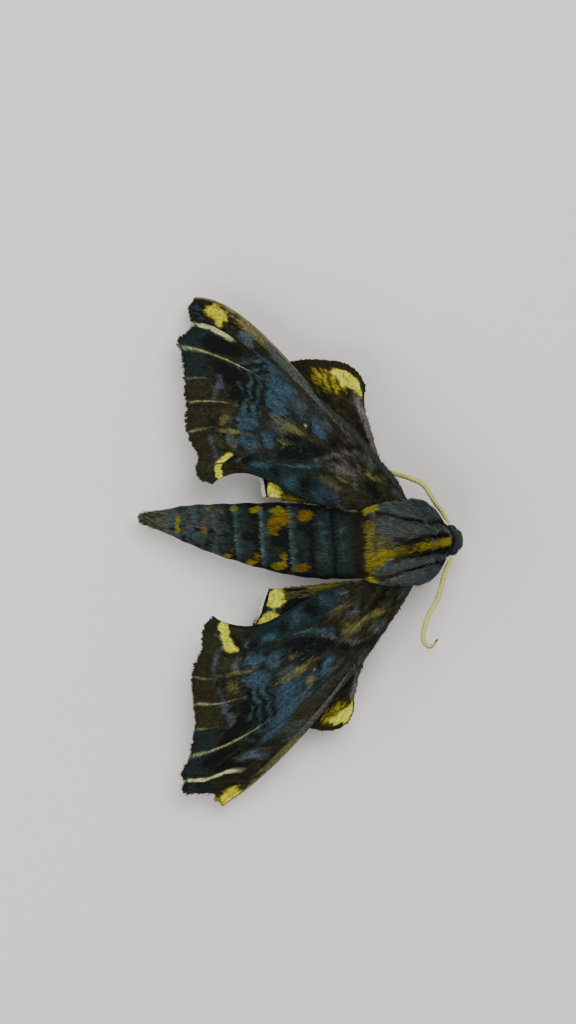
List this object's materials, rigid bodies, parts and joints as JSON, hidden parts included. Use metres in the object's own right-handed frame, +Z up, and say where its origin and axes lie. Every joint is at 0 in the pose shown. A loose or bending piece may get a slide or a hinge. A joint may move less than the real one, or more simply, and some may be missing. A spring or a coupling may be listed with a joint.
{
  "type": "small-eyed sphinx moth",
  "caption": "Life-size sphinx moth at rest with scalloped, veined wings spread, furry thorax, tapering segmented abdomen, comb-like antennae and legs folded under it.",
  "frame": {"origin": "centre of the bounding box on the floor, under the body", "axes": "head towards -Y, the moth's left wings towards +X, +Z up from the floor its feet stand on"},
  "size_m": [0.0515, 0.0326, 0.0107],
  "materials": {
    "grey_fur": "matt slate grey fur",
    "abdomen_scales": "matt blue-grey scales",
    "head_fur": "matt dark slate fur",
    "forewing_scales": "matt dark scales",
    "hindwing_scales": "matt dark olive scales",
    "antenna_lime": "satin pale lime",
    "eye_dark": "glossy near-black",
    "leg_fur": "matt brown fur",
    "palp_fur": "matt dark brown fur"
  },
  "bodies": {
    "root": {"thorax": "grey_fur", "abdomen": "abdomen_scales", "head": "head_fur", "eye_left": "eye_dark", "eye_right": "eye_dark", "palp_left": "palp_fur", "palp_right": "palp_fur", "antenna_left": "antenna_lime", "antenna_right": "antenna_lime", "leg_front_left": "leg_fur", "leg_front_right": "leg_fur", "leg_middle_left": "leg_fur", "leg_middle_right": "leg_fur", "leg_hind_left": "leg_fur", "leg_hind_right": "leg_fur", "forewing_left": "forewing_scales", "forewing_right": "forewing_scales", "hindwing_left": "hindwing_scales", "hindwing_right": "hindwing_scales"}
  },
  "joints": []
}
